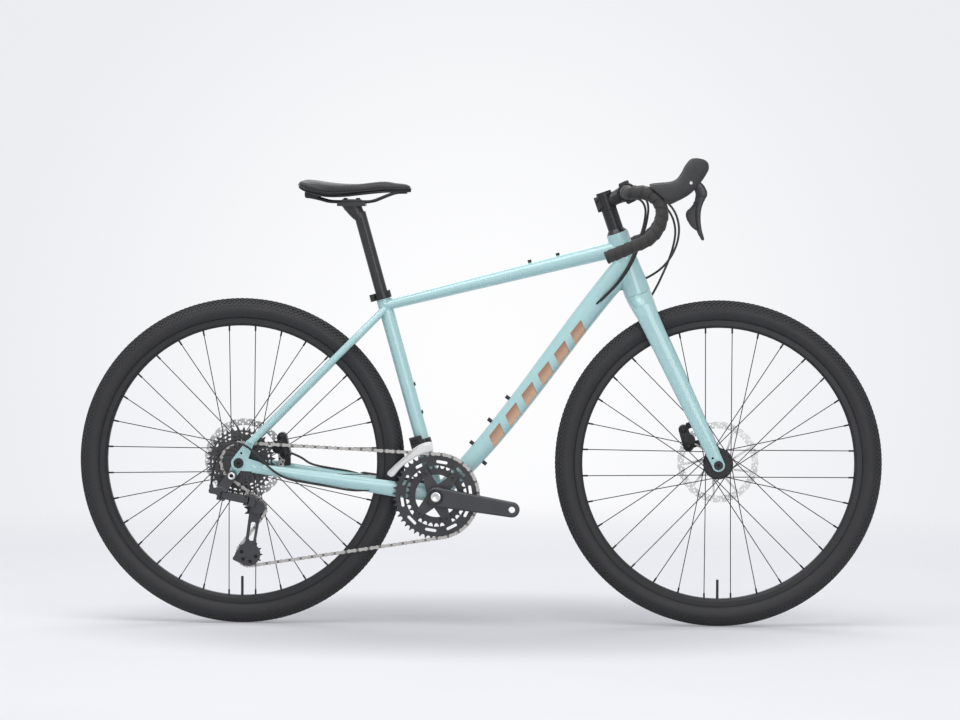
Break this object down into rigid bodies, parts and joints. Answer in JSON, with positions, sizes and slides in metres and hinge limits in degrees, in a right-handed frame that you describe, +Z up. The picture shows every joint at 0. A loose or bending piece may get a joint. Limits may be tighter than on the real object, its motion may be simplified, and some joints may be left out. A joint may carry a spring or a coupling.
{
  "type": "gravel bicycle",
  "caption": "Drop-bar gravel bicycle with a diamond frame, straight fork, wide tyres, disc brakes, double crankset and derailleurs.",
  "frame": {"origin": "on the ground under the middle of the wheelbase", "axes": "+X forward, +Y to the rider's left, +Z up"},
  "size_m": [1.7767, 0.5078, 1.0363],
  "materials": {
    "frame_paint": "gloss",
    "bearing_steel": "satin",
    "black_alloy": "satin anodised",
    "bolt_steel": "satin",
    "crank_alloy": "satin anodised",
    "ring_steel": "satin",
    "chain_steel": "satin",
    "tyre_rubber": "matt",
    "spoke_steel": "satin black",
    "rotor_steel": "brushed",
    "housing_black": "matt",
    "tape_black": "matt",
    "hood_rubber": "matt",
    "lever_black": "satin",
    "pad_compound": "matt",
    "saddle_cover": "matt",
    "saddle_plastic": "matt",
    "rail_steel": "satin black"
  },
  "bodies": {
    "frame": {"head_tube": "frame_paint", "seat_tube": "frame_paint", "top_tube": "frame_paint", "down_tube": "frame_paint", "frame_bearings": "bearing_steel", "chainstays": "frame_paint", "seatstays": "frame_paint", "seat_clamp": "black_alloy", "frame_bolts": "bolt_steel", "rear_axle": "black_alloy", "front_mech_body": "black_alloy", "mech_knuckle_upper": "crank_alloy", "rear_caliper": "black_alloy", "frame_housings": "housing_black", "chain": "chain_steel"},
    "steering": {"fork": "frame_paint", "front_axle": "black_alloy", "headset_spacers": "black_alloy", "stem": "black_alloy", "handlebar": "black_alloy", "bar_tape": "tape_black", "lever_hoods": "hood_rubber", "front_caliper": "black_alloy", "front_brake_hose": "housing_black", "bar_housings": "housing_black"},
    "front_wheel": {"front_tyre": "tyre_rubber", "front_rim": "black_alloy", "front_spokes": "spoke_steel", "front_hub": "black_alloy", "front_rotor": "rotor_steel"},
    "rear_wheel": {"rear_tyre": "tyre_rubber", "rear_rim": "black_alloy", "rear_spokes": "spoke_steel", "rear_hub": "black_alloy", "rear_rotor": "rotor_steel"},
    "crank": {"crank_right": "crank_alloy", "crank_left": "crank_alloy", "chainrings": "ring_steel"},
    "cassette": {"cassette": "ring_steel"},
    "mech_link": {"mech_outer_link": "crank_alloy"},
    "mech_inner": {"mech_inner_link": "crank_alloy"},
    "mech_lower": {"mech_knuckle_lower": "crank_alloy"},
    "mech_cage": {"mech_cage": "crank_alloy"},
    "guide_pulley": {"guide_pulley": "housing_black"},
    "tension_pulley": {"tension_pulley": "housing_black"},
    "front_mech": {"front_mech_cage": "ring_steel"},
    "seat": {"seatpost": "black_alloy", "saddle_rails": "rail_steel", "saddle_shell": "saddle_plastic", "saddle_pad": "saddle_cover"},
    "lever_right": {"lever_carrier_right": "lever_black"},
    "blade_right": {"brake_lever_right": "lever_black"},
    "paddle_right": {"shift_paddle_right": "lever_black"},
    "lever_left": {"lever_carrier_left": "lever_black"},
    "blade_left": {"brake_lever_left": "lever_black"},
    "paddle_left": {"shift_paddle_left": "lever_black"},
    "front_pad_right": {"front_pad_right": "pad_compound"},
    "front_pad_left": {"front_pad_left": "pad_compound"},
    "rear_pad_right": {"rear_pad_right": "pad_compound"},
    "rear_pad_left": {"rear_pad_left": "pad_compound"}
  },
  "joints": [
    {"name": "steering", "type": "hinge", "parent": "frame", "child": "steering", "pos_m": [0.32584, 0, 0.79922], "axis": [-0.3256, 0, 0.9455], "range_deg": [-65, 65], "deforming": ["bar_housings"]},
    {"name": "front_wheel_spin", "type": "hinge", "parent": "steering", "child": "front_wheel", "pos_m": [0.5275, 0, 0.361], "axis": [0, 1, 0], "continuous": true},
    {"name": "rear_wheel_spin", "type": "hinge", "parent": "frame", "child": "rear_wheel", "pos_m": [-0.5275, 0, 0.361], "axis": [0, 1, 0], "continuous": true},
    {"name": "crank_spin", "type": "hinge", "parent": "frame", "child": "crank", "pos_m": [-0.0936, 0, 0.288], "axis": [0, 1, 0], "continuous": true, "deforming": ["chain"]},
    {"name": "cassette_spin", "type": "hinge", "parent": "frame", "child": "cassette", "pos_m": [-0.5275, 0, 0.361], "axis": [0, 1, 0], "continuous": true},
    {"name": "rear_shift", "type": "hinge", "parent": "frame", "child": "mech_link", "pos_m": [-0.5625, -0.084, 0.29], "axis": [0.2028, 0, 0.9792], "range_deg": [-20, 16], "deforming": ["chain"]},
    {"name": "mech_inner_swing", "type": "hinge", "parent": "frame", "child": "mech_inner", "pos_m": [-0.5625, -0.068, 0.29], "axis": [0.2028, 0, 0.9792], "range_deg": [-20, 16]},
    {"name": "mech_lower_swing", "type": "hinge", "parent": "mech_link", "child": "mech_lower", "pos_m": [-0.50962, -0.084, 0.27905], "axis": [0.2028, 0, 0.9792], "range_deg": [-16, 20]},
    {"name": "cage_swing", "type": "hinge", "parent": "mech_lower", "child": "mech_cage", "pos_m": [-0.4855, -0.04485, 0.263], "axis": [0, 1, 0], "range_deg": [-20, 30], "deforming": ["chain"]},
    {"name": "guide_pulley_spin", "type": "hinge", "parent": "mech_cage", "child": "guide_pulley", "pos_m": [-0.49346, -0.04485, 0.25596], "axis": [0, 1, 0], "continuous": true},
    {"name": "tension_pulley_spin", "type": "hinge", "parent": "mech_cage", "child": "tension_pulley", "pos_m": [-0.50843, -0.04485, 0.15687], "axis": [0, 1, 0], "continuous": true},
    {"name": "front_shift", "type": "slide", "parent": "frame", "child": "front_mech", "axis": [0, 1, 0], "range_m": [0, 0.007], "deforming": ["chain"]},
    {"name": "seat_height", "type": "slide", "parent": "frame", "child": "seat", "axis": [-0.2689, 0, 0.9632], "range_m": [-0.11, 0.07]},
    {"name": "brake_right", "type": "hinge", "parent": "steering", "child": "lever_right", "pos_m": [0.46143, -0.21, 0.97997], "axis": [0, 1, 0], "range_deg": [0, 22], "stiffness_Nm_per_rad": 1.6, "springref_deg": -14.32},
    {"name": "blade_swing_right", "type": "hinge", "parent": "lever_right", "child": "blade_right", "pos_m": [0.47343, -0.21, 0.96397], "axis": [0.9744, 0, -0.225], "range_deg": [0, 12], "stiffness_Nm_per_rad": 0.7, "springref_deg": -11.46},
    {"name": "paddle_swing_right", "type": "hinge", "parent": "blade_right", "child": "paddle_right", "pos_m": [0.47343, -0.21, 0.96397], "axis": [0.9744, 0, -0.225], "range_deg": [0, 16], "stiffness_Nm_per_rad": 0.4, "springref_deg": -11.46},
    {"name": "brake_left", "type": "hinge", "parent": "steering", "child": "lever_left", "pos_m": [0.46143, 0.21, 0.97997], "axis": [0, 1, 0], "range_deg": [0, 22], "stiffness_Nm_per_rad": 1.6, "springref_deg": -14.32},
    {"name": "blade_swing_left", "type": "hinge", "parent": "lever_left", "child": "blade_left", "pos_m": [0.47343, 0.21, 0.96397], "axis": [-0.9744, 0, 0.225], "range_deg": [0, 12], "stiffness_Nm_per_rad": 0.7, "springref_deg": -11.46},
    {"name": "paddle_swing_left", "type": "hinge", "parent": "blade_left", "child": "paddle_left", "pos_m": [0.47343, 0.21, 0.96397], "axis": [-0.9744, 0, 0.225], "range_deg": [0, 16], "stiffness_Nm_per_rad": 0.4, "springref_deg": -11.46},
    {"name": "front_pad_right_slide", "type": "slide", "parent": "steering", "child": "front_pad_right", "axis": [0, 1, 0], "range_m": [0, 0.00034]},
    {"name": "front_pad_left_slide", "type": "slide", "parent": "steering", "child": "front_pad_left", "axis": [0, -1, 0], "range_m": [0, 0.00034]},
    {"name": "rear_pad_right_slide", "type": "slide", "parent": "frame", "child": "rear_pad_right", "axis": [0, 1, 0], "range_m": [0, 0.00034]},
    {"name": "rear_pad_left_slide", "type": "slide", "parent": "frame", "child": "rear_pad_left", "axis": [0, -1, 0], "range_m": [0, 0.00034]}
  ],
  "couplings": [
    {"joint": "cassette_spin", "follows": "crank_spin", "ratio": 2.1905},
    {"joint": "guide_pulley_spin", "follows": "crank_spin", "ratio": -4.1818},
    {"joint": "tension_pulley_spin", "follows": "crank_spin", "ratio": 3.5385},
    {"joint": "mech_inner_swing", "follows": "rear_shift", "ratio": 1},
    {"joint": "mech_lower_swing", "follows": "rear_shift", "ratio": -1},
    {"joint": "front_pad_right_slide", "follows": "brake_left", "m_per_rad": 0.0007813},
    {"joint": "front_pad_left_slide", "follows": "brake_left", "m_per_rad": 0.0007813},
    {"joint": "rear_pad_right_slide", "follows": "brake_right", "m_per_rad": 0.0007813},
    {"joint": "rear_pad_left_slide", "follows": "brake_right", "m_per_rad": 0.0007813}
  ]
}
